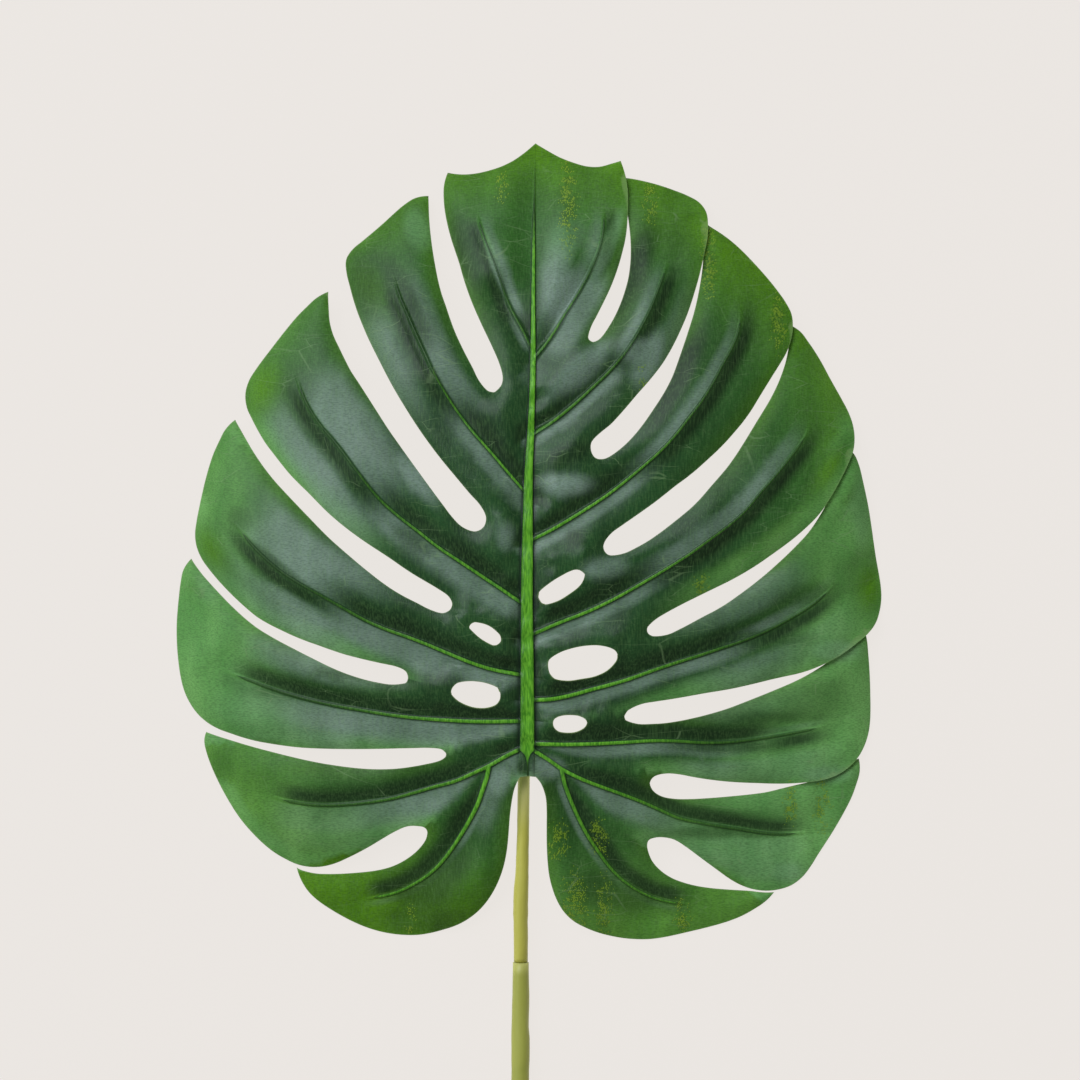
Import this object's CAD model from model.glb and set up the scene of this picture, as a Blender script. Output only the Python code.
# %% [markdown]
# # An artificial monstera leaf
# This is a florist's monstera leaf. Its blade is polyester fabric, printed green, coated and hot-pressed into
# shape over a moulded skeleton of ribs. A plastic petiole plugs into the skeleton, and a thicker stem into that.
# The solids of all four pieces come from a CAD frame. Here they get their fine shape, their print and their gloss.

# %% Load the frame
import math

import bmesh
import bpy
import mathutils
import numpy as np
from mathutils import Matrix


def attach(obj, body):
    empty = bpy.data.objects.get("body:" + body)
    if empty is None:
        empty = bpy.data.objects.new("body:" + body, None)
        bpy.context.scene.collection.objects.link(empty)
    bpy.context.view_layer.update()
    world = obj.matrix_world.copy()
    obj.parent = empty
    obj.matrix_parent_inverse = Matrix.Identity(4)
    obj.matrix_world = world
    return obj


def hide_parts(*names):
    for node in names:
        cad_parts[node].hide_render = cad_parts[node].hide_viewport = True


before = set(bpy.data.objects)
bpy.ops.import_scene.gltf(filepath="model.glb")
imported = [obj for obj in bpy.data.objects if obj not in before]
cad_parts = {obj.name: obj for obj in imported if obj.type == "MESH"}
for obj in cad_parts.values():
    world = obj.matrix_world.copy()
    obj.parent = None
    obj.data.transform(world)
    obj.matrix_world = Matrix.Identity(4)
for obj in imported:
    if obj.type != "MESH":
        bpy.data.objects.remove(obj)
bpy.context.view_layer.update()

# %% [markdown]
# ## The sheet
# The leaf was drawn on a flat sheet in millimetres: x to the right, y towards the tip. The frame's origin lies
# under the middle of the whole leaf, so two numbers turn one into the other. Working in millimetres keeps the
# sizes readable: a vein is 2.4 wide, not 0.0024.

# %% Sheet and frame
MM = 0.001
SHEET_MIDDLE = (264.473, 118.0)   # the frame's origin on the sheet, in mm


def sheet_points(mesh):
    """The vertices of a mesh as millimetres on the sheet, with their height over the table."""
    points = np.zeros(len(mesh.vertices) * 3)
    mesh.vertices.foreach_get("co", points)
    points = points.reshape(-1, 3) / MM
    points[:, :2] += SHEET_MIDDLE
    return points


def put_back(mesh, points):
    """Writes sheet points back to a mesh, in metres."""
    placed = points.copy()
    placed[:, :2] -= SHEET_MIDDLE
    mesh.vertices.foreach_set("co", (placed * MM).ravel())
    mesh.update()


tip = max(sheet_points(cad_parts["blade"].data), key=lambda point: point[1])
print("the blade's tip on the sheet:", np.round(tip[:2], 1))

# %% [markdown]
# ## Midrib and veins
# The midrib runs up the leaf, and the side veins branch off it in long curves. They decide nearly everything
# that the eye sees: the fabric is pressed into a crease along each one, the print darkens beside it, and the
# light breaks on it. So each vein is a short list of points, and all patterns are measured from these lines.

# %% Vein lines
# The midrib from notch to tip: y, x and half its width. A side vein is named for its side and its number from the
# tip down, and runs outwards as points x, y.
MIDRIB = [(152.8, 264.0, 3.0), (166, 263.6, 3.7), (180, 263.75, 3.6), (210, 263.7, 3.35), (240, 263.5, 3.0),
          (260, 263.7, 2.95), (285, 264.0, 2.5), (305, 264.4, 2.1), (320, 265.3, 1.85), (340, 266.1, 1.5),
          (360, 266.5, 1.4), (390, 266.6, 1.0), (415, 266.8, 0.8), (440, 267.0, 0.5), (455, 267.4, 0.3),
          (468.5, 267.8, 0.2)]
VEINS = {
    "TL": [(264.1, 368.3), (260.8, 375), (256.7, 382.6), (253.3, 390), (250, 400), (246.7, 409.2),
           (243.3, 417.8), (240.4, 426), (238.3, 433)],
    "L1": [(260.8, 295.8), (255, 302.5), (245, 314.2), (235, 325.6), (227.5, 335.8), (222, 344.5),
           (217.5, 352.5), (212.5, 363.3), (208.3, 372.5), (204, 382.5), (200.5, 390.5), (198, 398), (196.3, 404)],
    "L2": [(259.5, 239.8), (250, 246.3), (240, 252.9), (230, 259.6), (220, 266.2), (210, 274), (200, 281.7),
           (190, 290.7), (180, 303.1), (170, 316.5), (160, 328.3), (154.3, 337.3), (151.5, 343.5), (149, 350.5),
           (147, 356)],
    "L3": [(259.3, 203.5), (245, 206.3), (235, 209.6), (225, 213.7), (215, 217.9), (205, 221.8), (193.3, 225.9),
           (183, 230.4), (171.7, 236.7), (160, 243.2), (150, 248.8), (140, 255.4), (130, 264.2), (124, 270.7),
           (119.5, 276.5), (114.5, 281)],
    "L4": [(259.1, 180.2), (240, 180), (225, 180.6), (210, 181.6), (195, 183.3), (180, 185.7), (166.7, 187.9),
           (152, 191.2), (138, 195.3), (125, 200), (117, 203.2), (110.5, 206.7)],
    "L5": [(258.9, 165.7), (253, 162.8), (244.6, 157.9), (236.7, 154.2), (228, 150.3), (218, 147.5),
           (208.3, 144.6), (197, 141.5), (185, 139.4), (172, 138), (160, 137.7), (150, 138.6), (141, 140.4),
           (133.5, 142.8)],
    "L6": [(244.6, 157.9), (243.6, 152.5), (241.7, 146.7), (239, 138.8), (235.4, 131.5), (231.7, 125),
           (227.5, 118.3), (223, 112), (218, 106.3), (212, 101.3), (205.8, 97.5), (199.2, 94.2), (191, 92),
           (181, 90.3)],
    "TR": [(268.9, 362.6), (272.5, 366.9), (277.5, 374.2), (282.5, 382.5), (288.2, 391.6), (294, 402),
           (298.5, 411.8), (301, 420.5), (301.8, 428), (301.2, 436)],
    "R1": [(268.3, 323.5), (276.7, 329), (283.3, 334.2), (290, 340), (296.7, 346.3), (303.3, 352.6),
           (309.5, 359.4), (315.8, 368), (321, 377), (325.5, 386), (329, 395), (331.7, 402.5), (333.3, 410)],
    "R2": [(267.7, 271), (276.7, 275.6), (290, 283.6), (303.3, 292.3), (316.7, 302.8), (330, 314.4),
           (336.7, 321.5), (343, 329.5), (350, 338.6), (355.5, 347.2), (360.5, 356.5), (365.3, 365.2),
           (368.6, 373), (369.8, 381), (369.7, 390)],
    "R3": [(267.9, 224.1), (281, 229.7), (290, 233.1), (300, 237.5), (310, 242.6), (321, 248.9), (333.3, 256.2),
           (343, 262.3), (353, 269.4), (362, 275.9), (371, 283.5), (380, 294), (388, 303), (395, 311.6),
           (400.5, 319), (403.6, 325), (405.3, 331.5)],
    "R4": [(268.2, 190.8), (275.8, 191.2), (285, 193), (295, 195.8), (305, 198.4), (315, 201.4), (325, 205),
           (337, 209), (348, 212.4), (360, 216.3), (371, 220), (382, 224.4), (393, 230), (403, 235.9),
           (411, 241.9), (416, 247), (419.5, 251.5)],
    "R5": [(268.3, 168.9), (280, 168.6), (290, 168.7), (300, 169), (312, 169.6), (325, 170.3), (338, 170.1),
           (350, 169.2), (362, 169.2), (375, 170.4), (388, 172.3), (400, 174.4), (410, 176.6), (416.5, 180)],
    "R6": [(268.3, 164.7), (275, 160.4), (280.6, 156.4), (290, 151.6), (300, 147.6), (310, 143.9), (320, 140),
           (330, 135.5), (338.5, 131.6), (348, 129.3), (358, 127.4), (370, 125.4), (380, 123.7), (390, 122.8),
           (400, 123.4), (407, 124.7)],
    "R7": [(280.6, 156.4), (282.2, 149), (285.3, 140.5), (289, 132), (293.4, 123.4), (298.5, 115.6),
           (304, 107.8), (309.5, 101.8), (315.5, 97), (322, 93.2), (329, 90.4), (337, 88.7), (346, 87.8)],
}
BRANCHES = ("L6", "R7")   # these two leave another vein, not the midrib
print("points drawn:", len(MIDRIB) + sum(len(points) for points in VEINS.values()))

# %% [markdown]
# ## Smooth curves from few points
# A centripetal spline passes through its points without loops or overshoot, even where they lie unevenly.
# That's why a dozen points are enough for a vein.

# %% Curves
CURVE_STEP = 0.5   # mm between the points of a dense curve
VEIN_STEP = 3.0    # mm between the points of a vein's line


def fine_curve(points):
    """A dense smooth curve through the points (a centripetal spline)."""
    p = np.array(points, float)
    p = np.vstack([2 * p[0] - p[1], p, 2 * p[-1] - p[-2]])
    out = []
    for i in range(1, len(p) - 2):
        knots = np.cumsum([0.0] + [max(np.linalg.norm(p[k + 1] - p[k]), 1e-6) ** 0.5 for k in range(i - 1, i + 2)])
        count = max(3, int(np.linalg.norm(p[i + 1] - p[i]) / CURVE_STEP))
        t = np.linspace(knots[1], knots[2], count, endpoint=False)[:, None]
        a = [((knots[k + 1] - t) * p[i - 1 + k] + (t - knots[k]) * p[i + k]) / (knots[k + 1] - knots[k])
             for k in range(3)]
        b = [((knots[k + 2] - t) * a[k] + (t - knots[k]) * a[k + 1]) / (knots[k + 2] - knots[k]) for k in range(2)]
        out.append(((knots[2] - t) * b[0] + (t - knots[1]) * b[1]) / (knots[2] - knots[1]))
    return np.vstack(out + [p[-2:-1]])


def even(curve, step):
    """Points an even distance apart along a dense curve, with both ends."""
    length = np.concatenate([[0], np.cumsum(np.linalg.norm(np.diff(curve, axis=0), axis=1))])
    at = np.linspace(0, length[-1], max(2, int(round(length[-1] / step)) + 1))
    return np.column_stack([np.interp(at, length, curve[:, k]) for k in range(curve.shape[1])])


def midrib_at(y):
    """Where the middle of the midrib lies at a height y, and half its width there."""
    rows = np.array(MIDRIB, float)
    return np.interp(y, rows[:, 0], rows[:, 1]), np.interp(y, rows[:, 0], rows[:, 2])


def vein_line(name):
    """A side vein, led on inwards to the middle of the midrib unless it branches off another vein."""
    points = list(VEINS[name])
    if name not in BRANCHES:
        (x0, y0), (x1, y1) = points[0], points[1]
        centre = float(midrib_at(y0)[0])
        points.insert(0, (centre, y0 - (y1 - y0) * (x0 - centre) / (x1 - x0)))
    return even(fine_curve(points), VEIN_STEP)


vein_lines = {name: vein_line(name) for name in VEINS}
longest = max(len(line) for line in vein_lines.values()) * VEIN_STEP
print("veins:", len(vein_lines), "longest about", round(longest), "mm")

# %% [markdown]
# ## Distances
# Nearly every pattern on the leaf depends on how far a place is from a vein or an edge, how far along the vein
# it lies, and on which side. One function answers all three for many points at once.

# %% Distances
FAR = 1e9


def to_line(x, y, line):
    """Distance from each point to a line, how far along it that is (0 to 1), and on which side."""
    best = np.full(len(x), FAR)
    along = np.zeros(len(x))
    side = np.ones(len(x))
    steps = np.linalg.norm(np.diff(line, axis=0), axis=1)
    total = steps.sum()
    run = 0.0
    for k in range(len(line) - 1):
        (ax, ay), (bx, by) = line[k], line[k + 1]
        dx, dy = bx - ax, by - ay
        t = np.clip(((x - ax) * dx + (y - ay) * dy) / (dx * dx + dy * dy), 0, 1)
        gap = np.hypot(x - ax - t * dx, y - ay - t * dy)
        near = gap < best
        best = np.where(near, gap, best)
        along = np.where(near, (run + t * steps[k]) / total, along)
        side = np.where(near, np.where(dx * (y - ay) - dy * (x - ax) >= 0, 1.0, -1.0), side)
        run += steps[k]
    return best, along, side


def smoothstep(low, high, value):
    """0 up to low, 1 from high on, and a soft S between them."""
    t = np.clip((value - low) / (high - low), 0, 1)
    return t * t * (3 - 2 * t)


print("from the tip to vein TR:", np.round(to_line(tip[:1], tip[1:2], vein_lines["TR"])[0]), "mm")

# %% [markdown]
# ## The pressed relief
# Seen from above the leaf is a shallow dome. The midrib lies in a valley, and so does each side vein near it.
# Further out the steep veins ride on a ridge instead, with a gentle upper flank and a short lower one. That
# change is what makes the light jump from one side of a vein to the other. A height in millimetres for each
# place on the sheet says all of it, and can be tested number by number.

# %% Dome, valleys and ridges
# All sizes are in mm. Where a value changes along a vein, its list runs from the midrib (0) to the vein's end (1).
DOME_HEIGHT = 34.0
DOME_CENTRE = (264.0, 262.0)
DOME_RADII = (186.0, 208.0)
DOME_SOFT = 3.0
EDGE_DROOP = 3.2
EDGE_BAND = 12.0
NOTCH = (264.0, 150.0)
NOTCH_DROOP = 0.8
NOTCH_BAND = (8, 60)
# For the midrib: y, and how deep its valley or how tall its rib is there.
MIDRIB_VALLEY = ((150, 2.0), (175, 4.6), (300, 4.4), (440, 2.6), (470, 0.0))
MIDRIB_REACH = 15.0
MIDRIB_TALL = ((152, 0.5), (166, 2.0), (250, 1.8), (340, 1.2), (440, 0.7), (462, 0.0))
# For the side veins: reaches are above and below the vein.
VALLEY_DEPTH = 4.6
VALLEY_REACH = (15.0, 20.0)
VALLEY_SPREAD = ([0, 0.25, 1], [0.75, 1, 0.95])
VALLEY_START = ([0, 0.12], [0.85, 1])
RIDGE_TALL = 2.0
RIDGE_REACH = (16.0, 7.0)
RIDGE_TURN = {"TL": 0.5, "L1": 0.48, "L2": 0.55, "L3": 0.6, "TR": 0.65, "R1": 0.5, "R2": 0.45, "R3": 0.42}
NEVER = 2.0   # the turn of a vein that stays in its valley
RIDGE_BLEND = 0.12
VEIN_WIDTH = (1.35, 0.6)
VEIN_TALL = (1.15, 0.6)
PUCKER_TALL = 0.45
WAVE_TALL = 0.5
# Where the margin touches the table: x, y, how much lower, and how far around.
RESTS = [(267.8, 464, 4.5, 22), (206, 76, 4.0, 26), (322, 74, 4.0, 26), (92, 228, 4.5, 24), (437, 246, 4.5, 24)]


def bell(part):
    """A soft hump: 1 in the middle, and 0 from a part of 1 outwards."""
    return (1 - np.clip(part, 0, 1) ** 2) ** 2


def dome(x, y):
    """Height of the plain dome, and how far out a place is: 0 in the middle and about 1 at the margin."""
    outward = ((x - DOME_CENTRE[0]) / DOME_RADII[0]) ** 2 + ((y - DOME_CENTRE[1]) / DOME_RADII[1]) ** 2
    return DOME_SOFT * np.logaddexp(0, DOME_HEIGHT * (1 - outward) / DOME_SOFT), outward


def is_left(name):
    """Whether a vein lies left of the midrib."""
    return name[0] == "L" or name == "TL"


def relief(x, y, margin):
    """Height of the blade's underside over the table, and of the ribs pressed into it."""
    z = dome(x, y)[0]
    centre, half = midrib_at(y)
    across = np.abs(x - centre)
    valley = (np.interp(y, *zip(*MIDRIB_VALLEY)) * bell(across / MIDRIB_REACH)) ** 3
    rib = np.interp(y, *zip(*MIDRIB_TALL)) * np.sqrt(np.clip(1 - (across / (half + 0.15)) ** 4, 0, 1))
    ridge = np.zeros(len(x))
    for name, line in vein_lines.items():
        gap, along, side = to_line(x, y, line)
        upper = side < 0 if is_left(name) else side > 0
        turn = RIDGE_TURN.get(name, NEVER)
        turned = smoothstep(turn - RIDGE_BLEND, turn + RIDGE_BLEND, along)
        reach = np.where(upper, *VALLEY_REACH) * np.interp(along, *VALLEY_SPREAD)
        fade = (1 - 0.75 * smoothstep(0.7, 1.0, along)) * (1 - 0.8 * turned) * np.interp(along, *VALLEY_START)
        valley = valley + (VALLEY_DEPTH * fade * bell(gap / reach)) ** 3
        end = 1 - smoothstep(0.85, 1.0, along)
        ridge = np.maximum(ridge, RIDGE_TALL * turned * end * bell(gap / np.where(upper, *RIDGE_REACH)))
        width = np.interp(along, [0, 1], VEIN_WIDTH)
        tall = np.interp(along, [0, 1], VEIN_TALL) * (1 - smoothstep(0.9, 1.0, along))
        rib = np.maximum(rib, tall * np.sqrt(np.clip(1 - (gap / (width + 0.1)) ** 2, 0, 1)))
    notch = smoothstep(*NOTCH_BAND, np.hypot(x - NOTCH[0], y - NOTCH[1]))
    droop = (EDGE_DROOP * notch + NOTCH_DROOP * (1 - notch)) * (1 - np.clip(margin / EDGE_BAND, 0, 1)) ** 2
    # Valleys that meet are added as cubes, so that their floors run together instead of getting twice as deep.
    z = z - np.cbrt(valley) + ridge - droop
    for rx, ry, deep, reach in RESTS:
        z = z - deep * (1 - smoothstep(0, reach, np.hypot(x - rx, y - ry)))
    # Small puckers beside the midrib, and long waves all over.
    pucker = PUCKER_TALL * np.sin(y / 2.6 + 1.5 * np.sin(x / 9))
    pucker *= smoothstep(4, 8, across) * (1 - smoothstep(8, 22, across))
    pucker *= smoothstep(175, 200, y) * (1 - smoothstep(290, 320, y))
    wave = WAVE_TALL * np.sin(x / 23 + 1.0) * np.sin(y / 19 + 0.4) * smoothstep(5, 20, margin)
    return z + pucker + wave, rib


for place in ((264, 230), (300, 300), (400, 230)):
    height, rib = relief(np.array([place[0]]), np.array([place[1]]), np.array([20.0]))
    print("height at", place, "is", round(float(height[0]), 1), "mm, rib", round(float(rib[0]), 1), "mm")

# %% [markdown]
# ## The blade
# The frame's blade is a coarse solid. A copy of its upper skin is cut into sixteen times as many triangles in
# edit mode, its edge is led through smooth curves, and the heights are worked out again for every new point.
# What the frame's heights hold beyond the relief, such as one lobe lapping over the next, is carried along.

# %% Upper skin of the blade
MERGE = 1e-6        # metres; the frame's triangles share places but not points
FACES_UP = 0.02     # a face of the upper skin has a normal at least this steep


def only(item):
    """Makes one object the selected and active one."""
    bpy.ops.object.select_all(action="DESELECT")
    item.select_set(True)
    bpy.context.view_layer.objects.active = item


def copy_node(name, new_name):
    """A merged copy of one of the frame's nodes, as a new piece at the origin."""
    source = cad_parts[name]
    piece = bpy.data.objects.new(new_name, source.data.copy())
    bpy.context.scene.collection.objects.link(piece)
    piece.data.materials.clear()
    only(piece)
    bpy.ops.object.mode_set(mode="EDIT")
    bpy.ops.mesh.select_all(action="SELECT")
    bpy.ops.mesh.remove_doubles(threshold=MERGE)
    bpy.ops.object.mode_set(mode="OBJECT")
    return piece


def keep_upper_skin(piece):
    """Deletes the underside and the rim, which a modifier makes again later."""
    bpy.ops.object.mode_set(mode="EDIT")
    bpy.ops.mesh.select_mode(type="FACE")
    bpy.ops.mesh.select_all(action="DESELECT")
    bpy.ops.object.mode_set(mode="OBJECT")
    for face in piece.data.polygons:
        face.select = face.normal.z < FACES_UP
    bpy.ops.object.mode_set(mode="EDIT")
    bpy.ops.mesh.delete(type="FACE")
    bpy.ops.object.mode_set(mode="OBJECT")


def edge_loops(mesh):
    """The free edges of a skin as closed loops of vertex numbers."""
    shape = bmesh.new()
    shape.from_mesh(mesh)
    following = {}
    for edge in shape.edges:
        if edge.is_boundary:
            loop = edge.link_loops[0]
            following[loop.vert.index] = loop.link_loop_next.vert.index
    shape.free()
    loops = []
    while following:
        start, at = following.popitem()
        loop = [start]
        while at != start:
            loop.append(at)
            at = following.pop(at)
        loops.append(loop)
    return loops


blade = copy_node("blade", "leaf_blade")
keep_upper_skin(blade)
coarse_loops = edge_loops(blade.data)
print("upper skin:", len(blade.data.polygons), "triangles,", len(coarse_loops), "free edges")

# %% [markdown]
# ## A smooth edge
# Cutting each edge of the coarse outline in four leaves it as angular as before. Each new point moves onto a
# cubic curve through the four old points around it, which keeps the old points where they are. Real corners,
# where the outline turns sharply, start a new curve.

# %% Edge curves
CUTS = 3             # new points on each edge
CORNER_TURN = 48.0   # degrees; a sharper turn is a real corner
LONG_LOOP = 60       # a loop with more points is measured with every second one


def refined_loop(points):
    """Closed loop of points with three more between each two, on cubic curves that stop at corners."""
    count = len(points)
    ahead = np.roll(points, -1, axis=0) - points
    behind = np.roll(ahead, 1, axis=0)
    cross = behind[:, 0] * ahead[:, 1] - behind[:, 1] * ahead[:, 0]
    turn = np.degrees(np.arctan2(cross, (behind * ahead).sum(axis=1)))
    corner = np.abs(turn) > CORNER_TURN
    fine = []
    for i in range(count):
        j = (i + 1) % count
        a, b = points[i], points[j]
        size = np.linalg.norm(b - a)
        before = (b - points[i - 1]) / np.linalg.norm(b - points[i - 1])
        after = (points[(j + 1) % count] - a) / np.linalg.norm(points[(j + 1) % count] - a)
        straight = (b - a) / size
        start = straight if corner[i] else before
        end = straight if corner[j] else after
        if corner[i] and not corner[j]:
            start = 2 * straight * (straight @ after) - after
        if corner[j] and not corner[i]:
            end = 2 * straight * (straight @ before) - before
        for t in np.arange(CUTS + 1) / (CUTS + 1):
            fine.append((2 * t**3 - 3 * t**2 + 1) * a + (t**3 - 2 * t**2 + t) * size * start
                        + (3 * t**2 - 2 * t**3) * b + (t**3 - t**2) * size * end)
    return np.array(fine)


coarse = sheet_points(blade.data)
smooth_loops = [refined_loop(coarse[loop][:, :2]) for loop in coarse_loops]
outline = [np.vstack([loop, loop[:1]]) for loop in smooth_loops]
print("edge points:", sum(len(loop) for loop in smooth_loops))


def margin_distance(x, y):
    """Distance to the nearest free edge, in millimetres."""
    best = np.full(len(x), FAR)
    for loop in outline:
        best = np.minimum(best, to_line(x, y, loop[::2] if len(loop) > LONG_LOOP else loop)[0])
    return best


# %% [markdown]
# ## Dents in the cloth
# Pressed cloth is never quite smooth. Shallow dents of one to three centimetres break up its gloss, and next to
# the midrib short tucks run across, where the cloth was gathered onto the rib. Both are moulded into the mesh
# rather than into the material, so that they show from every side.

# %% Dents and tucks
DENT_SIZES = ((34.0, 0.7), (15.0, 0.35), (6.5, 0.1))   # width and height in mm
# Tucks: x of their middle, and y where they begin and end.
TUCKS = [(254, 262, 305), (275, 190, 305), (256, 178, 250), (272, 320, 350), (313, 338, 362), (290, 150, 175)]
TUCK_TALL = 0.85
TUCK_REACH = 12   # mm to both sides
TUCK_END = 6      # mm over which a row of tucks begins or ends


def dents(x, y, margin):
    """Small heights of dents and tucks, which fade out at the edges."""
    total = np.zeros(len(x))
    for size, tall in DENT_SIZES:
        total += tall * np.array([mathutils.noise.noise((px / size, py / size, size)) for px, py in zip(x, y)])
    for tx, low, high in TUCKS:
        along = smoothstep(low - TUCK_END, low + TUCK_END, y)
        along *= 1 - smoothstep(high - TUCK_END, high + TUCK_END, y)
        weight = bell(np.abs(x - tx) / TUCK_REACH) * along
        total += TUCK_TALL * weight * np.sin(y / 2.4 + np.sin(x / 5) + 2 * np.sin(y / 17))
    return total * smoothstep(1, 10, margin)


x, y, z = coarse.T
rough_dents = dents(x, y, margin_distance(x, y))
print("dents from", round(rough_dents.min(), 2), "to", round(rough_dents.max(), 2), "mm")

# %% [markdown]
# ## From coarse to fine
# Subdividing in edit mode keeps each old point and puts three new ones on every edge. The part of the frame's
# heights that the relief doesn't explain, such as one lobe lapping over the next, is put aside first. It spreads
# evenly over the new points and is added again once each of them has its own height.

# %% Fine heights
BLADE_SOLID = 0.85   # mm, the thickness of the frame's blade
height, rib = relief(x, y, margin_distance(x, y))
coarse[:, 2] = z - (height + rib + BLADE_SOLID)
put_back(blade.data, coarse)

only(blade)
bpy.ops.object.mode_set(mode="EDIT")
bpy.ops.mesh.select_all(action="SELECT")
bpy.ops.mesh.subdivide(number_cuts=CUTS, smoothness=0)
bpy.ops.object.mode_set(mode="OBJECT")


def matching_loop(loop, points):
    """The smooth loop with as many points as this free edge, in nearly the same place."""
    return min(smooth_loops, key=lambda other: abs(len(other) - len(loop)) * 1e3
               + np.linalg.norm(other.mean(0) - points.mean(0)))


fine = sheet_points(blade.data)
for loop in edge_loops(blade.data):
    edge_points = fine[loop][:, :2]
    curve = matching_loop(loop, edge_points)
    first = int(np.argmin(np.linalg.norm(curve - edge_points[0], axis=1)))
    fine[loop, :2] = np.roll(curve, -first, axis=0)
x, y, lift = fine.T
margin = margin_distance(x, y)
height, rib = relief(x, y, margin)
fine[:, 2] = np.maximum(height + lift + dents(x, y, margin), 0.0) + rib + BLADE_SOLID
put_back(blade.data, fine)
print("fine skin:", len(blade.data.polygons), "triangles, top at", round(fine[:, 2].max(), 1), "mm")

# %% [markdown]
# ## Where the print changes
# The greens of the print follow the leaf: darkest along the midrib, lighter towards the margin, and each lobe
# has its own mixture of yellowish and frosty green. Masks from 0 to 1, worked out from the distances to veins
# and edges, are stored on the blade's points. They move with the surface, which a flat projection wouldn't.

# %% Tints and worn places
# For each vein's lobe: yellowish green and frosty green at the margin, and where from the middle they start.
LOBE_TINTS = {
    "TL": (0.95, 0.0, 0.62), "TR": (0.95, 0.0, 0.60),
    "L1": (0.9, 0.0, 0.58), "L2": (0.9, 0.2, 0.52), "L3": (0.5, 0.55, 0.48),
    "L4": (0.45, 0.8, 0.50), "L5": (0.8, 0.35, 0.50), "L6": (0.9, 0.0, 0.45),
    "R1": (0.95, 0.0, 0.55), "R2": (0.95, 0.0, 0.50), "R3": (0.9, 0.1, 0.52), "R4": (0.75, 0.7, 0.48),
    "R5": (0.45, 0.85, 0.48), "R6": (0.5, 0.85, 0.48), "R7": (0.8, 0.25, 0.50)}
# The lobe with a yellowish lower edge, and those with none. The others have a frosty one.
YELLOW_EDGE = "R3"
DARK_EDGES = ("TL", "TR", "L1", "R1", "R2", "L6", "R7")
# Places where threads show through as yellow specks: x, y and half sizes across and along.
WORN = [(251, 446, 2.5, 7), (284, 438, 4, 24), (325, 438, 3, 11), (354, 409, 3, 18), (389, 378, 3, 15),
        (322, 350, 3, 6), (350, 248, 3, 6), (279, 121, 5, 10), (287, 88, 6, 18), (299, 122, 5, 9),
        (302, 87, 4, 16), (341, 82, 4, 9), (205, 79, 3, 8), (411, 137, 3, 13), (395, 137, 3, 11)]
print("lobes:", len(LOBE_TINTS), "worn places:", len(WORN))

# %% [markdown]
# ## Bloom, hollows and pools
# Between the veins the cloth bulges and catches the light as a pale bloom. The hollows beside the bulges are
# darker, and a few lobes end in a pool of yellowish green. Folds as fine as these can't be read from one view, so
# they are soft ovals of print on top of the relief.

# %% Ovals of print
# Bloom (strength above 0) and darker hollows (below 0): x, y, half sizes, lean to the right going up, strength.
PATCHES = [
    (278, 400, 9, 34, 0.1, 1.0), (247, 408, 3, 18, -0.3, 0.8), (303, 415, 5, 22, 0.4, 0.8),
    (324, 360, 9, 18, 0.3, 1.0), (284, 390, 6, 24, 0.45, 1.0), (290, 354, 12, 17, 0.8, 1.0),
    (319, 364, 8, 9, 0.6, 1.0), (208, 302, 9, 17, -0.7, 0.9), (209, 425, 8, 13, -0.2, 0.5),
    (253, 272, 6, 9, 0.0, 0.6), (283, 297, 17, 7, 0.0, 1.0), (302, 256, 14, 7, 0.3, 0.7),
    (429, 293, 6, 16, 0.4, 0.5), (431, 285, 7, 26, 0.0, 0.6), (417, 215, 18, 7, 0.0, 1.0),
    (412, 153, 18, 6, 0.0, 1.0), (393, 104, 12, 8, 0.0, 1.0), (150, 172, 46, 5, 0.0, 0.6),
    (104, 250, 8, 14, 0.0, 0.5), (274, 157, 10, 7, 0.0, 0.9), (249, 150, 8, 12, 0.3, 0.8),
    (244, 136, 6, 14, 0.3, 0.5), (368, 243, 12, 18, 2.0, 0.5), (150, 272, 8, 24, -1.2, 0.5),
    (150, 237, 9, 22, -1.56, 0.6), (265, 154, 12, 7, 0.0, 0.6),
    (203, 388, 10, 30, -0.45, -0.7), (180, 398, 14, 24, -0.3, -0.4), (150, 345, 12, 16, 0.0, -0.3),
    (213, 94, 20, 13, 0.3, -0.6), (315, 92, 22, 11, 0.0, -0.5), (234, 412, 8, 28, -0.35, -0.7),
    (315, 402, 10, 32, 0.4, -1.0), (338, 350, 9, 32, 0.5, -1.0), (283, 312, 12, 9, 0.8, -0.9),
    (287, 270, 6, 6, 0.0, -0.8), (120, 280, 8, 8, 0.0, -0.4), (150, 195, 34, 6, 0.0, -0.4),
    (222, 103, 14, 18, 0.5, -0.6), (262, 157, 4, 5, 0.0, -0.9), (335, 88, 10, 8, 0.0, -0.3),
    (365, 167, 40, 4, 0.0, -0.6), (135, 260, 7, 20, -1.25, -0.6), (300, 95, 17, 13, 0.0, -0.6),
    (212, 80, 30, 10, 0.0, -0.5), (228, 398, 5, 24, -0.35, -0.6), (390, 182, 34, 4, 0.0, -0.5),
    (378, 124, 22, 4, 0.0, -0.5), (175, 204, 28, 4, 0.0, -0.5), (207, 270, 9, 10, -1.0, -0.5),
    (225, 200, 10, 5, 0.0, -0.5), (382, 221, 30, 5, 0.0, -0.5), (355, 124, 26, 4, 0.0, -0.5),
    (408, 190, 22, 14, 0.3, -0.35), (405, 243, 20, 7, 1.0, -0.4)]
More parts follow.
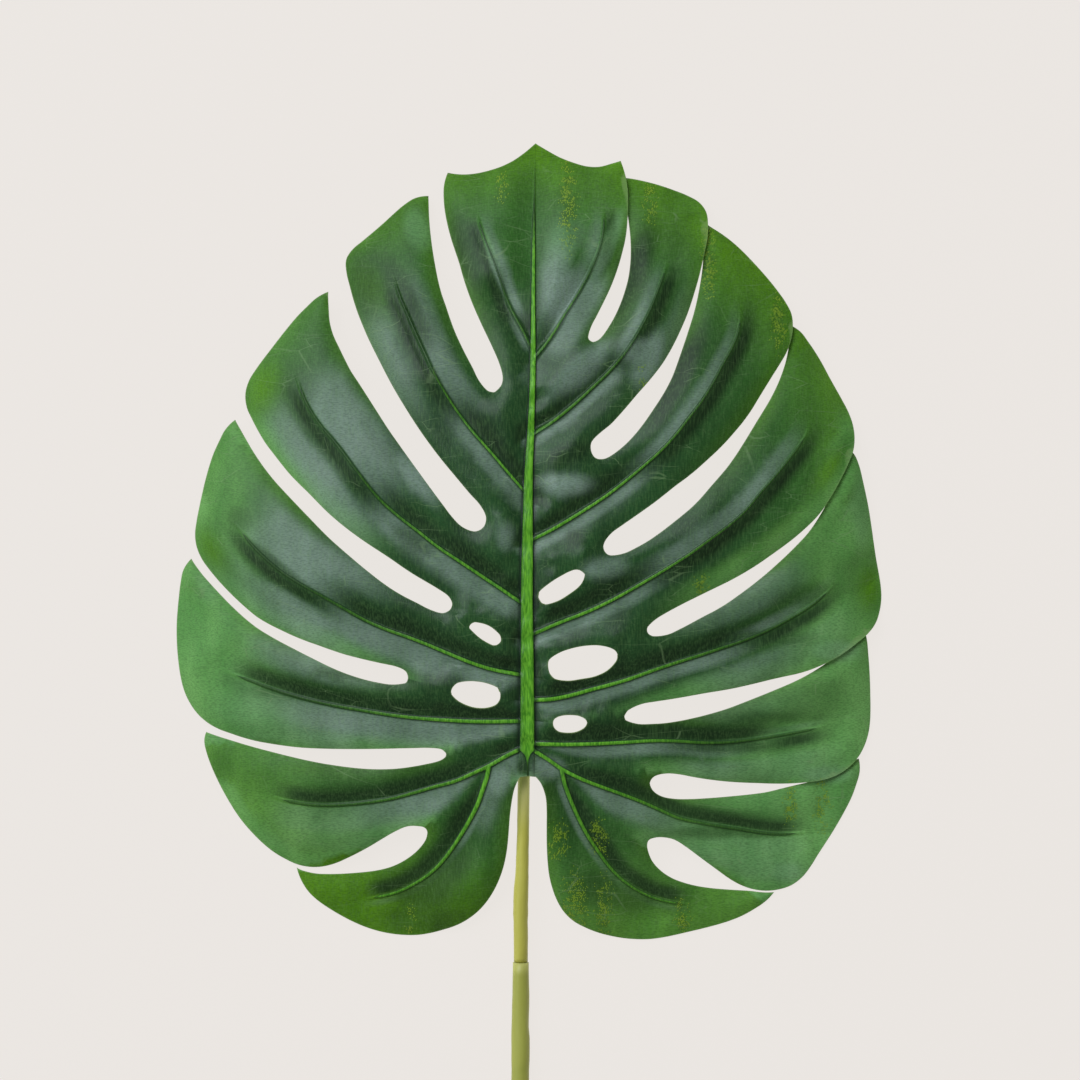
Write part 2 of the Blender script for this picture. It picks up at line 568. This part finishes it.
# Pools of yellowish green, in the same form.
POOLS = [
    (132, 346, 14, 22, 0.2, 0.9), (106, 265, 13, 20, -0.4, 0.9), (184, 396, 12, 22, -0.3, 0.6),
    (415, 306, 9, 22, 0.59, 0.95), (435, 246, 13, 22, 0.0, 1.0), (160, 156, 60, 9, 0.0, 0.5),
    (112, 158, 10, 13, 0.0, 0.5), (345, 438, 16, 14, 0.0, 0.4)]


def ovals(places, full, rim):
    """The strongest of some soft ovals at each point, full up to a part of their size and gone at their rim."""
    strongest = np.zeros(len(x))
    for px, py, wide, tall, lean, strength in places:
        spot = 1 - smoothstep(full, rim, np.hypot((x - px - lean * (y - py)) / wide, (y - py) / tall))
        strongest = np.maximum(strongest, strength * spot)
    return strongest


bloom = ovals([patch for patch in PATCHES if patch[-1] > 0], 0.35, 1.15)
hollow = ovals([(*patch[:-1], -patch[-1]) for patch in PATCHES if patch[-1] < 0], 0.35, 1.15)
pool = ovals(POOLS, 0.0, 1.2)
worn = ovals([(*place, 0.0, 1.0) for place in WORN], 0.6, 1.3)
print("bloom on", round(100 * bloom.mean()), "percent of the points, hollows on", round(100 * hollow.mean()))

# %% [markdown]
# ## Bands along the veins
# A vein in a valley has a dark upper flank and a pale lower one, and past the turn, where it rides on a ridge, the
# other way round. Each point looks up its nearest vein and how far it is above or below it.

# %% Nearest vein and bands
# For each vein's print: its brightness near the midrib and at its end, and its width against the widest.
VEIN_PRINTS = {
    "TL": (0.3, 0.05, 0.5), "L1": (0.7, 0.1, 0.6), "L2": (0.75, 0.1, 0.75), "L3": (0.8, 0.1, 0.85),
    "L4": (0.85, 0.1, 0.95), "L5": (0.85, 0.15, 0.95), "L6": (0.95, 0.7, 1.1), "TR": (0.45, 0.1, 0.6),
    "R1": (0.5, 0.1, 0.7), "R2": (0.9, 0.15, 0.75), "R3": (0.9, 0.15, 0.8), "R4": (1.0, 0.15, 0.95),
    "R5": (1.0, 0.15, 0.95), "R6": (0.9, 0.15, 0.9), "R7": (0.7, 0.5, 0.95)}
# The turn, the reach of the pale strip before and after it in mm, and the strength of the wide bloom further
# below and above in the outer half.
BANDS = {
    "TL": (0.25, 3, 4, 0.0, 0.0), "L1": (0.42, 6, 9, 0.8, 0.0), "L2": (0.53, 8, 13, 1.0, 0.8),
    "L3": (0.60, 10, 14, 0.9, 1.0), "L4": (0.95, 11, 10, 0.8, 0.9), "L5": (NEVER, 11, 3, 0.6, 0.2),
    "L6": (NEVER, 3, 3, 0.0, 0.0), "TR": (0.62, 9, 4, 0.4, 0.4), "R1": (0.50, 4, 4, 0.5, 0.0),
    "R2": (0.40, 5, 4, 0.0, 0.0), "R3": (0.38, 5, 6, 0.0, 0.0), "R4": (0.66, 5, 4, 0.7, 0.5),
    "R5": (0.78, 5, 3, 0.9, 0.4), "R6": (NEVER, 8, 3, 1.0, 0.2), "R7": (NEVER, 3, 3, 0.0, 0.0)}
TURN_BLEND = 0.1
STRIP_FADE = 1.7   # the pale strip is gone at this many times its reach


def band(low, start, end, high, value):
    """1 between start and end, falling softly to 0 at low and high."""
    return smoothstep(low, start, value) * (1 - smoothstep(end, high, value))


names = list(vein_lines)
found = np.array([to_line(x, y, line) for line in vein_lines.values()])
nearest_vein = np.argmin(found[:, 0], axis=0)
gap, part, side = found[nearest_vein, :, np.arange(len(x))].T
above_vein = np.where(np.array([is_left(name) for name in names])[nearest_vein], -side, side) * gap
turn, strip_in, strip_out, below, above = np.array([BANDS[name] for name in names])[nearest_vein].T
turned = smoothstep(turn - TURN_BLEND, turn + TURN_BLEND, part)
wide_pale = np.maximum(below * band(7, 12, 20, 28, -above_vein), above * band(8, 13, 20, 28, above_vein))
wide_pale *= smoothstep(0.4, 0.65, part)
# Both kinds fade at a vein's end, and halfway to the next vein, where they would meet its bands with a jolt.
two_nearest = np.sort(found[:, 0], axis=0)[:2]
ends = (1 - smoothstep(0.88, 1.02, part)) * smoothstep(0, 8, two_nearest[1] - two_nearest[0])
inner_dark = band(0.3, 2.0, 5.5, 11.0, above_vein)
outer_dark = band(0.3, 2.0, 5.0, 9.5, -above_vein)
shade = ends * (inner_dark * (1 - turned) + outer_dark * turned)
inner_pale = band(0.5, 2.0, strip_in, STRIP_FADE * strip_in, -above_vein)
outer_pale = band(0.5, 2.0, strip_out, STRIP_FADE * strip_out, above_vein)
pale = ends * np.maximum(wide_pale, inner_pale * (1 - turned) + outer_pale * turned)
print("points beside each vein:", dict(zip(names, np.bincount(nearest_vein).tolist())))

# %% [markdown]
# ## Keeping the masks
# The masks are put together and stored on the mesh as attributes. Where two would fight, one gives way: a pool
# has no bloom on it, and far out, where the print is lighter, a bloom turns frosty.

# %% Masks on the blade
BEYOND = 4.0   # mm from an edge or a vein's line, where nothing of either is drawn any more


def keep(name, values):
    """Stores a number for each point of the blade, for its material to read."""
    mask = blade.data.attributes.new(name, "FLOAT", "POINT")
    mask.data.foreach_set("value", np.asarray(values, np.float32))


yellow, frost, start = np.array([LOBE_TINTS[name] for name in names])[nearest_vein].T
bright, bright_end, thin = np.array([VEIN_PRINTS[name] for name in names])[nearest_vein].T
outward = dome(x, y)[1]
far_out = smoothstep(0.4, 0.65, outward)
edge_green = (1 - smoothstep(0, 9, margin)) * smoothstep(0.12, 0.5, outward)
lower_edge = (1 - smoothstep(3, 13, margin)) * smoothstep(8, 13, -above_vein) * smoothstep(0.1, 0.3, outward)
lower_edge *= 1 - smoothstep(320, 345, y)
mottled = lower_edge * (nearest_vein == names.index(YELLOW_EDGE))
lower_edge[np.isin(nearest_vein, [names.index(name) for name in DARK_EDGES])] = 0
yellow = np.maximum(yellow * smoothstep(start, start + 0.4, outward), np.maximum(0.7 * mottled, 0.45 * edge_green))
frost = np.maximum(frost * smoothstep(start - 0.1, start + 0.25, outward), 0.75 * lower_edge)
centre, half = midrib_at(y)
fading = smoothstep(430, 452, y) + 1 - smoothstep(157, 166, y)

keep("gap", gap / (thin * np.interp(part, [0, 1], [1.0, 0.5])) + BEYOND * smoothstep(0.9, 1.0, part))
keep("bright", bright + (bright_end - bright) * smoothstep(0.15, 0.75, part))
keep("edge", np.minimum(margin, BEYOND))
keep("midrib", (x - centre) / half * (1 + 7 * fading))
keep("mid", smoothstep(0.1, 0.75, outward))
keep("yellow", np.maximum(yellow * (1 - pool), 0.85 * pool))
keep("frost", np.maximum(frost, bloom * far_out) * (1 - 0.5 * hollow) * (1 - pool))
keep("shade", np.maximum(hollow, shade * (1 - 0.8 * bloom)))
keep("pale", np.maximum(bloom, 0.68 * pale) * (1 - hollow) * (1 - 0.65 * far_out) * (1 - pool))
keep("worn", worn)
keep("tip", np.maximum(smoothstep(405, 440, y), 1 - smoothstep(157, 165, y)))
print("masks:", [item.name for item in blade.data.attributes if item.data_type == "FLOAT"])

# %% [markdown]
# ## Colour and node helpers
# Screen colours are written as hex values, as any colour picker gives them. Blender mixes light in linear
# values, so one function turns one into the other. One more adds a node, sets it and links it.

# %% Helpers for materials
def colour(code):
    """A screen colour such as 'ff8800' as linear RGBA."""
    parts = [int(code[i:i + 2], 16) / 255 for i in (0, 2, 4)]
    return [p / 12.92 if p <= 0.04045 else ((p + 0.055) / 1.055) ** 2.4 for p in parts] + [1.0]


def add(tree, kind, inputs, output=0, **settings):
    """Adds a node, sets its options, fills or links its inputs, and gives back one of its outputs."""
    node = tree.nodes.new("ShaderNode" + kind)
    for key, value in settings.items():
        setattr(node, key, value)
    for key, value in inputs.items():
        if isinstance(value, bpy.types.NodeSocket):
            tree.links.new(value, node.inputs[key])
        else:
            node.inputs[key].default_value = value
    return node.outputs[output]


def new_material(name, **sockets):
    """A material with a Principled shader whose constant values are set on its own sockets."""
    made = bpy.data.materials.new(name)
    made.use_nodes = True
    shader = made.node_tree.nodes["Principled BSDF"]
    for key, value in sockets.items():
        shader.inputs[key.replace("_", " ")].default_value = value
    return made, made.node_tree, shader


print("the base green in linear light:", [round(part, 3) for part in colour("1d4020")[:3]])

# %% [markdown]
# ## Printed and coated polyester
# The blade is woven polyester, printed in greens that run from nearly black along the creases to yellowish
# green at the margin, then coated and pressed. Its finish is built in layers, each a Mix node that lays a new
# colour over the colour so far, where a mask or a noise says so. First come the clouded greens and the threads.

# %% Greens and grain
PATCH = 16.0          # mm, the clouds in the print, longer along the leaf
THREAD = 0.7          # mm between upright threads; the real 0.2 is too fine to show, so it's drawn coarser
CROSS_THREAD = 0.49   # mm between cross threads, coarser too
MASKS = ("gap", "bright", "edge", "midrib", "mid", "yellow", "frost", "shade", "pale", "worn", "tip")
BASE = ("1d4020", "28552a")
# A mask, how much of its tint it brings in, and the tint's darker and lighter green.
TINTS = (("mid", 1.0, "2f621e", "3c7628"), ("yellow", 1.0, "4a8003", "619c0a"), ("frost", 1.0, "64a854", "80c06a"),
         ("pale", 0.9, "78927f", "94ac9e"), ("shade", 0.88, "112a11", "183617"))
print("threads drawn every", THREAD, "mm, tints:", [tint[0] for tint in TINTS])


def grain(tree, place):
    """Noise stretched along the leaf, as fine as the threads."""
    thin = add(tree, "Mapping", {"Vector": place, "Scale": (1, 0.12, 1)})
    return add(tree, "TexNoise", {"Vector": thin, "Scale": 1 / (THREAD * MM), "Detail": 1.0})


def greens(tree, place, mask):
    """The clouded greens, one tint over the other."""
    upright = add(tree, "Mapping", {"Vector": place, "Scale": (1, 0.35, 1)})
    patch = add(tree, "TexNoise", {"Vector": upright, "Scale": 1 / (PATCH * MM), "Detail": 4.0})
    patch = add(tree, "MapRange", {"Value": patch, "From Min": 0.32, "From Max": 0.68})
    paint = add(tree, "Mix", {0: patch, 6: colour(BASE[0]), 7: colour(BASE[1])}, 2, data_type="RGBA")
    for key, most, darker, lighter in TINTS:
        tint = add(tree, "Mix", {0: patch, 6: colour(darker), 7: colour(lighter)}, 2, data_type="RGBA")
        amount = add(tree, "Math", {0: mask[key], 1: most}, operation="MULTIPLY")
        paint = add(tree, "Mix", {0: amount, 6: paint, 7: tint}, 2, data_type="RGBA")
    return paint


def woven(tree, place, threads, paint):
    """Lighter upright threads and darker cross threads."""
    weave = add(tree, "MapRange", {"Value": threads, "From Min": 0.42, "From Max": 0.75, "To Max": 0.22})
    paint = add(tree, "Mix", {0: weave, 6: paint, 7: colour("6d9a58")}, 2, data_type="RGBA")
    flat = add(tree, "Mapping", {"Vector": place, "Scale": (0.25, 1, 1)})
    weft = add(tree, "TexNoise", {"Vector": flat, "Scale": 1 / (CROSS_THREAD * MM), "Detail": 1.0})
    weft = add(tree, "MapRange", {"Value": weft, "From Min": 0.4, "From Max": 0.7, "To Max": 0.35})
    return add(tree, "Mix", {0: weft, 6: paint, 7: colour("13300f")}, 2, data_type="RGBA")


# %% [markdown]
# ## Wear
# Where the print is thin, yellowish thread shows at the crossings of the weave: a grid of small cells of which
# some are lit. Fine scratches run mostly across the leaf. They are the borders of stretched Voronoi cells, thinned
# out by a noise until only single strokes are left.

# %% Worn places and scratches
CROSSING = 0.5   # mm between crossings that show; the real 0.2 is too fine
RAGGED = 4.0     # mm, the tatters at the rim of a worn place
SCRATCHES = ((7.0, 0.2, 0.35), (13.0, -0.35, 0.32))   # spacing in mm, turn in radians, strength
print("scratches about every", [scratch[0] for scratch in SCRATCHES], "mm")


def worn_thin(tree, place, mask, paint):
    """Specks of thread in the ragged places where the print is thin."""
    cell = add(tree, "VectorMath", {0: place, 1: (CROSSING * MM, CROSSING * MM, 1.0)}, operation="SNAP")
    lit = add(tree, "TexWhiteNoise", {"Vector": cell}, noise_dimensions="3D")
    ragged = add(tree, "TexNoise", {"Vector": place, "Scale": 1 / (RAGGED * MM), "Detail": 2.0})
    ragged = add(tree, "MapRange", {"Value": ragged, "From Min": 0.38, "From Max": 0.58})
    worn = add(tree, "Math", {0: mask["worn"], 1: ragged}, operation="MULTIPLY")
    often = add(tree, "MapRange", {"Value": worn, "To Min": 1.0, "To Max": 0.5})
    speck = add(tree, "Math", {0: lit, 1: often}, operation="GREATER_THAN")
    thin_print = add(tree, "Math", {0: worn, 1: 0.5}, operation="MULTIPLY")
    paint = add(tree, "Mix", {0: thin_print, 6: paint, 7: colour("3c5f0f")}, 2, data_type="RGBA")
    speck = add(tree, "Math", {0: speck, 1: 0.7}, operation="MULTIPLY")
    paint = add(tree, "Mix", {0: speck, 6: paint, 7: colour("86a82c")}, 2, data_type="RGBA")
    return paint


def scratched(tree, place, paint):
    """Pale strokes of two sizes."""
    for size, lean, most in SCRATCHES:
        tilted = add(tree, "Mapping", {"Vector": place, "Rotation": (0, 0, lean), "Scale": (0.16, 1, 1)})
        cells = add(tree, "TexVoronoi", {"Vector": tilted, "Scale": 1 / (size * MM)}, feature="DISTANCE_TO_EDGE")
        cut = add(tree, "MapRange", {"Value": cells, "From Min": 0.013, "From Max": 0.004, "To Max": most})
        where = add(tree, "TexNoise", {"Vector": place, "Scale": 1 / (size * 2.2 * MM), "Detail": 2.0})
        where = add(tree, "MapRange", {"Value": where, "From Min": 0.52, "From Max": 0.64})
        cut = add(tree, "Math", {0: cut, 1: where}, operation="MULTIPLY")
        paint = add(tree, "Mix", {0: cut, 6: paint, 7: colour("7fa06c")}, 2, data_type="RGBA")
    return paint


# %% [markdown]
# ## Printed veins and gloss
# A vein is a bright line that fades out with its length, between two dark ones. So is the midrib, but near the
# tip only a thin dark line is left. The cut edge frays a little, so a thin pale line runs along it. The coating
# makes the middle glossy, and towards the margin it is nearly matt.

# %% Veins, edge and gloss
def vein_print(tree, mask, threads, paint):
    """The veins, and then the midrib over them."""
    gap = mask["gap"]
    line = add(tree, "MapRange", {"Value": gap, "From Min": 2.1, "From Max": 1.0, "To Max": 0.75},
               interpolation_type="SMOOTHSTEP")
    paint = add(tree, "Mix", {0: line, 6: paint, 7: colour("0f2717")}, 2, data_type="RGBA")
    strands = add(tree, "MapRange", {"Value": threads, "From Min": 0.35, "From Max": 0.65})
    bright = add(tree, "Mix", {0: strands, 6: colour("4a9420"), 7: colour("74c234")}, 2, data_type="RGBA")
    rib = add(tree, "MapRange", {"Value": gap, "From Min": 1.3, "From Max": 0.7}, interpolation_type="SMOOTHSTEP")
    rib = add(tree, "Math", {0: rib, 1: mask["bright"]}, operation="MULTIPLY")
    paint = add(tree, "Mix", {0: rib, 6: paint, 7: bright}, 2, data_type="RGBA")

    off = add(tree, "Math", {0: mask["midrib"]}, operation="ABSOLUTE")
    dark = add(tree, "MapRange", {"Value": off, "From Min": 1.9, "From Max": 1.05, "To Max": 0.85},
               interpolation_type="SMOOTHSTEP")
    paint = add(tree, "Mix", {0: dark, 6: paint, 7: colour("12291a")}, 2, data_type="RGBA")
    crest = add(tree, "MapRange", {"Value": off, "From Min": 1.0, "From Max": 0.85},
                interpolation_type="SMOOTHSTEP")
    bright = add(tree, "Mix", {0: mask["tip"], 6: bright, 7: colour("223f16")}, 2, data_type="RGBA")
    paint = add(tree, "Mix", {0: crest, 6: paint, 7: bright}, 2, data_type="RGBA")
    # The left side of the midrib's top is a little darker.
    away = add(tree, "MapRange", {"Value": mask["midrib"], "From Min": -0.1, "From Max": -0.9, "To Max": 0.5})
    away = add(tree, "Math", {0: away, 1: crest}, operation="MULTIPLY")
    paint = add(tree, "Mix", {0: away, 6: paint, 7: colour("27591a")}, 2, data_type="RGBA")
    return paint


def printed_cloth(name):
    """Printed and coated polyester: a satin gloss that breaks on the relief, over a fine grain."""
    made, tree, shader = new_material(name, IOR=1.33)   # lower than polyester's own 1.6: the coating is satin
    place = add(tree, "TexCoord", {}, "Object")
    mask = {key: add(tree, "Attribute", {}, "Fac", attribute_name=key) for key in MASKS}
    threads = grain(tree, place)
    paint = woven(tree, place, threads, greens(tree, place, mask))
    paint = scratched(tree, place, worn_thin(tree, place, mask, paint))
    paint = vein_print(tree, mask, threads, paint)
    fray = add(tree, "MapRange", {"Value": mask["edge"], "From Min": 0.6, "From Max": 0.1, "To Max": 0.3})
    paint = add(tree, "Mix", {0: fray, 6: paint, 7: colour("93ad70")}, 2, data_type="RGBA")
    tree.links.new(paint, shader.inputs["Base Color"])
    rough = add(tree, "MapRange", {"Value": mask["mid"], "To Min": 0.34, "To Max": 0.46})
    rough = add(tree, "Math", {0: mask["yellow"], 1: 0.34, 2: rough}, operation="MULTIPLY_ADD")
    tree.links.new(rough, shader.inputs["Roughness"])
    bump = add(tree, "Bump", {"Height": threads, "Strength": 0.3, "Distance": 0.0002})
    tree.links.new(bump, shader.inputs["Normal"])
    return made


def plain_cloth(name, darker, lighter, roughness):
    """Polyester without print or coating: matt, so the eye sees only its dull green and its weave."""
    made, tree, shader = new_material(name, Roughness=roughness)
    place = add(tree, "TexCoord", {}, "Object")
    weave = add(tree, "TexNoise", {"Vector": place, "Scale": 1 / (THREAD * MM), "Detail": 2.0})
    shade = add(tree, "Mix", {0: weave, 6: colour(darker), 7: colour(lighter)}, 2, data_type="RGBA")
    tree.links.new(shade, shader.inputs["Base Color"])
    bump = add(tree, "Bump", {"Height": weave, "Strength": 0.4, "Distance": 0.0002})
    tree.links.new(bump, shader.inputs["Normal"])
    return made


cloths = [printed_cloth("printed_coated_polyester"),
          plain_cloth("polyester_back", "5d7f4e", "6f9160", 0.75),
          plain_cloth("cut_polyester_edge", "6c8a4c", "93a86a", 0.8)]
print("cloths:", {cloth.name: len(cloth.node_tree.nodes) for cloth in cloths}, "nodes")

# %% [markdown]
# ## Thickness
# The cloth gets its thickness from a Solidify modifier, which also hands the back and the cut edge their own
# materials. The cut edge shows the pale core of the fibre.

# %% Thick blade
CLOTH_THICK = 0.45   # mm
SMOOTH_UP_TO = math.radians(50)   # a sharper edge stays an edge
for cloth in cloths:
    blade.data.materials.append(cloth)
for face in blade.data.polygons:
    face.use_smooth = True
thick = blade.modifiers.new("thick", "SOLIDIFY")
thick.thickness = CLOTH_THICK * MM
thick.offset = -1
thick.material_offset = 1
thick.material_offset_rim = 2
only(blade)
bpy.ops.object.modifier_apply(modifier="thick")
bpy.ops.object.shade_smooth_by_angle(angle=SMOOTH_UP_TO)
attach(blade, "root")
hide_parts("blade")
print("blade:", len(blade.data.polygons), "triangles and quads")

# %% [markdown]
# ## Ribs, petiole and stem
# These are injection-moulded polyethylene. The frame's solids have the right form, so merged copies of them are
# rounded by their shading and get a moulded finish: colour that varies a little in streaks and stains, and a
# fine bump along the streaks.

# %% Moulded plastic
STREAK = 2.5      # mm, the flow streaks across the piece; they are longer along it
BLOTCH = 50 / 3   # mm, the faint stains
print("streaks", STREAK, "mm and stains", round(BLOTCH), "mm across")


def moulded(name, lighter, darker, mark, roughness, worn_end=None):
    """Moulded polyethylene: waxy, with a broad soft gloss and faint streaks where it flowed into the mould.

    A worn end is given as two values of y in metres, and how pale it gets between them.
    """
    made, tree, shader = new_material(name, Roughness=roughness, IOR=1.5)
    place = add(tree, "TexCoord", {}, "Object")
    drawn = add(tree, "Mapping", {"Vector": place, "Scale": (1, 0.08, 1)})
    streak = add(tree, "TexNoise", {"Vector": drawn, "Scale": 1 / (STREAK * MM), "Detail": 3.0})
    blotch = add(tree, "TexNoise", {"Vector": place, "Scale": 1 / (BLOTCH * MM), "Detail": 2.0})
    blotch = add(tree, "MapRange", {"Value": blotch, "From Min": 0.55, "From Max": 0.75, "To Max": 0.4})
    shade = add(tree, "Mix", {0: streak, 6: colour(lighter), 7: colour(darker)}, 2, data_type="RGBA")
    shade = add(tree, "Mix", {0: blotch, 6: shade, 7: colour(mark)}, 2, data_type="RGBA")
    if worn_end:
        up = add(tree, "SeparateXYZ", {"Vector": place}, "Y")
        low, high, most = worn_end
        end = add(tree, "MapRange", {"Value": up, "From Min": low, "From Max": high, "To Max": most})
        shade = add(tree, "Mix", {0: end, 6: shade, 7: colour("f2ee96")}, 2, data_type="RGBA")
    tree.links.new(shade, shader.inputs["Base Color"])
    bump = add(tree, "Bump", {"Height": streak, "Strength": 0.3, "Distance": 0.0003})
    tree.links.new(bump, shader.inputs["Normal"])
    return made


# %% [markdown]
# ## Uneven rods
# Rods of such a cheap moulding are never quite even. Petiole and stem are cut finer, and their sides move in and
# out by a few tenths of a millimetre. Near their joints they keep the frame's exact form.

# %% Ribs, petiole and stem
ROD_CUTS = 2
SWELLS = (11, 4)   # mm, the two sizes of swellings along a rod
SWELL_END = 8      # mm over which they fade
SIDE_NORMAL = 0.5  # a point of a side has a normal that leans along the rod less than this


def make_uneven(piece, low, high, tall):
    """Moves the sides of a rod in and out between two places along it. Nothing goes below the table."""
    only(piece)
    bpy.ops.object.mode_set(mode="EDIT")
    bpy.ops.mesh.select_all(action="SELECT")
    bpy.ops.mesh.subdivide(number_cuts=ROD_CUTS)
    bpy.ops.object.mode_set(mode="OBJECT")
    normals = [point.normal.copy() for point in piece.data.vertices]
    for point, normal in zip(piece.data.vertices, normals):
        if abs(normal.y) < SIDE_NORMAL:
            y = point.co.y / MM
            inside = float(smoothstep(low, low + SWELL_END, y) * (1 - smoothstep(high - SWELL_END, high, y)))
            coarse_swell, fine_swell = (mathutils.noise.noise(point.co / (size * MM)) for size in SWELLS)
            point.co += normal * tall * inside * (coarse_swell + 0.5 * fine_swell) * MM
            point.co.z = max(point.co.z, 0.0)


def finish_node(node, name, slot, made, *unevenness):
    """A finished piece in place of one of the frame's nodes."""
    piece = copy_node(node, name)
    if unevenness:
        make_uneven(piece, *unevenness)
    piece.data.materials.append(made)
    only(piece)
    bpy.ops.object.shade_smooth_by_angle(angle=SMOOTH_UP_TO)
    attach(piece, "root")
    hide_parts(node)
    print(name, len(piece.data.polygons), "faces")


# The ribs are green and hidden from above.
finish_node("rib_frame", "rib_skeleton", "rib_plastic",
            moulded("moulded_polyethylene_green", "4d8f2c", "3c7a24", "2f6420", 0.45))
# The petiole is a bright olive that gets paler under the leaf, the stem a duller one with a worn rim at its joint.
finish_node("petiole", "petiole_rod", "petiole_plastic",
            moulded("moulded_polyethylene_olive", "cfcd5c", "c2c04e", "a8a542", 0.42, (0.008, 0.028, 1.0)),
            -50, 22, 0.3)
finish_node("stem", "stem_rod", "stem_plastic",
            moulded("moulded_polyethylene_stem", "b6bc56", "a8ae48", "8f9a3c", 0.42, (-0.066, -0.060, 0.35)),
            -330, -68, 0.45)

# %% [markdown]
# ## The surface it lies on
# The leaf lies on a pale, warm white surface with hardly any shadow, as on a light table: the opal surface gives
# off most of its brightness itself, evenly and without gloss. So its base colour is dark, and an emission does
# the rest. It lies a hair below the leaf, so that the two don't flicker where they touch.

# %% Floor
FLOOR_SIZE = 40        # metres, far beyond the picture
FLOOR_GAP = 0.0004
FLOOR_GLOW = 0.8
bpy.ops.object.select_all(action="DESELECT")
bpy.ops.mesh.primitive_plane_add(size=FLOOR_SIZE, location=(0, 0, -FLOOR_GAP))
floor = bpy.context.active_object
floor.name = "floor"
table, tree, shader = new_material("opal_light_table", Roughness=0.9, Specular_IOR_Level=0.0,
                                   Base_Color=colour("3a3938"), Emission_Color=colour("fffaf5"),
                                   Emission_Strength=FLOOR_GLOW)
floor.data.materials.append(table)
print("floor glows with a strength of", FLOOR_GLOW)

# %% [markdown]
# ## Soft daylight
# The main light is daylight from the upper left, a wide soft rectangle. That is why a vein in a valley is dark
# above and bright below, and one on a ridge the other way round. A weak light from the left and a dim room keep
# the dark flanks from going black.

# %% Light
ROOM_GLOW = 0.25


def soft_light(name, place, target, size, glow, tint):
    """A large rectangular light, as bright as its glow (the brightness of its face) says."""
    lamp = bpy.data.lights.new(name, "AREA")
    lamp.shape = "RECTANGLE"
    lamp.size, lamp.size_y = size
    lamp.energy = glow * math.pi * size[0] * size[1]
    lamp.color = colour(tint)[:3]
    item = bpy.data.objects.new(name, lamp)
    bpy.context.scene.collection.objects.link(item)
    item.location = place
    item.rotation_euler = (mathutils.Vector(target) - mathutils.Vector(place)).to_track_quat("-Z", "Y").to_euler()
    print(name, "light:", round(lamp.energy), "W")


soft_light("window", (-1.15, 1.45, 2.0), (0, 0.12, 0), (2.6, 1.7), 4.2, "f0f4ff")
soft_light("side", (-2.3, -0.6, 1.3), (0, 0.12, 0), (1.0, 1.6), 1.2, "f6f7ff")
world = bpy.data.worlds.new("room")
bpy.context.scene.world = world
world.use_nodes = True
world.node_tree.nodes["Background"].inputs["Color"].default_value = colour("f4f1ee")
world.node_tree.nodes["Background"].inputs["Strength"].default_value = ROOM_GLOW
bpy.context.scene.view_settings.view_transform = "Standard"

# %% [markdown]
# ## The camera
# The camera looks straight down from high up through a long lens. The middle of the dome, 35 mm nearer than the
# margin, is then drawn only one and a half per cent larger, so the outline keeps its form. A new camera already
# looks down, so it only needs its place.

# %% Camera
VIEW_WIDTH = 0.540                      # metres that the picture shows from side to side
VIEW_CENTRE = (0.0055, 0.1520, 0.004)   # the place in its middle
CAMERA_HEIGHT = 2.4
camera_data = bpy.data.cameras.new("camera")
camera = bpy.data.objects.new("camera", camera_data)
bpy.context.scene.collection.objects.link(camera)
camera.location = (VIEW_CENTRE[0], VIEW_CENTRE[1], CAMERA_HEIGHT)
camera_data.lens = camera_data.sensor_width * (CAMERA_HEIGHT - VIEW_CENTRE[2]) / VIEW_WIDTH
bpy.context.scene.camera = camera
print("lens:", round(camera_data.lens, 1), "mm")
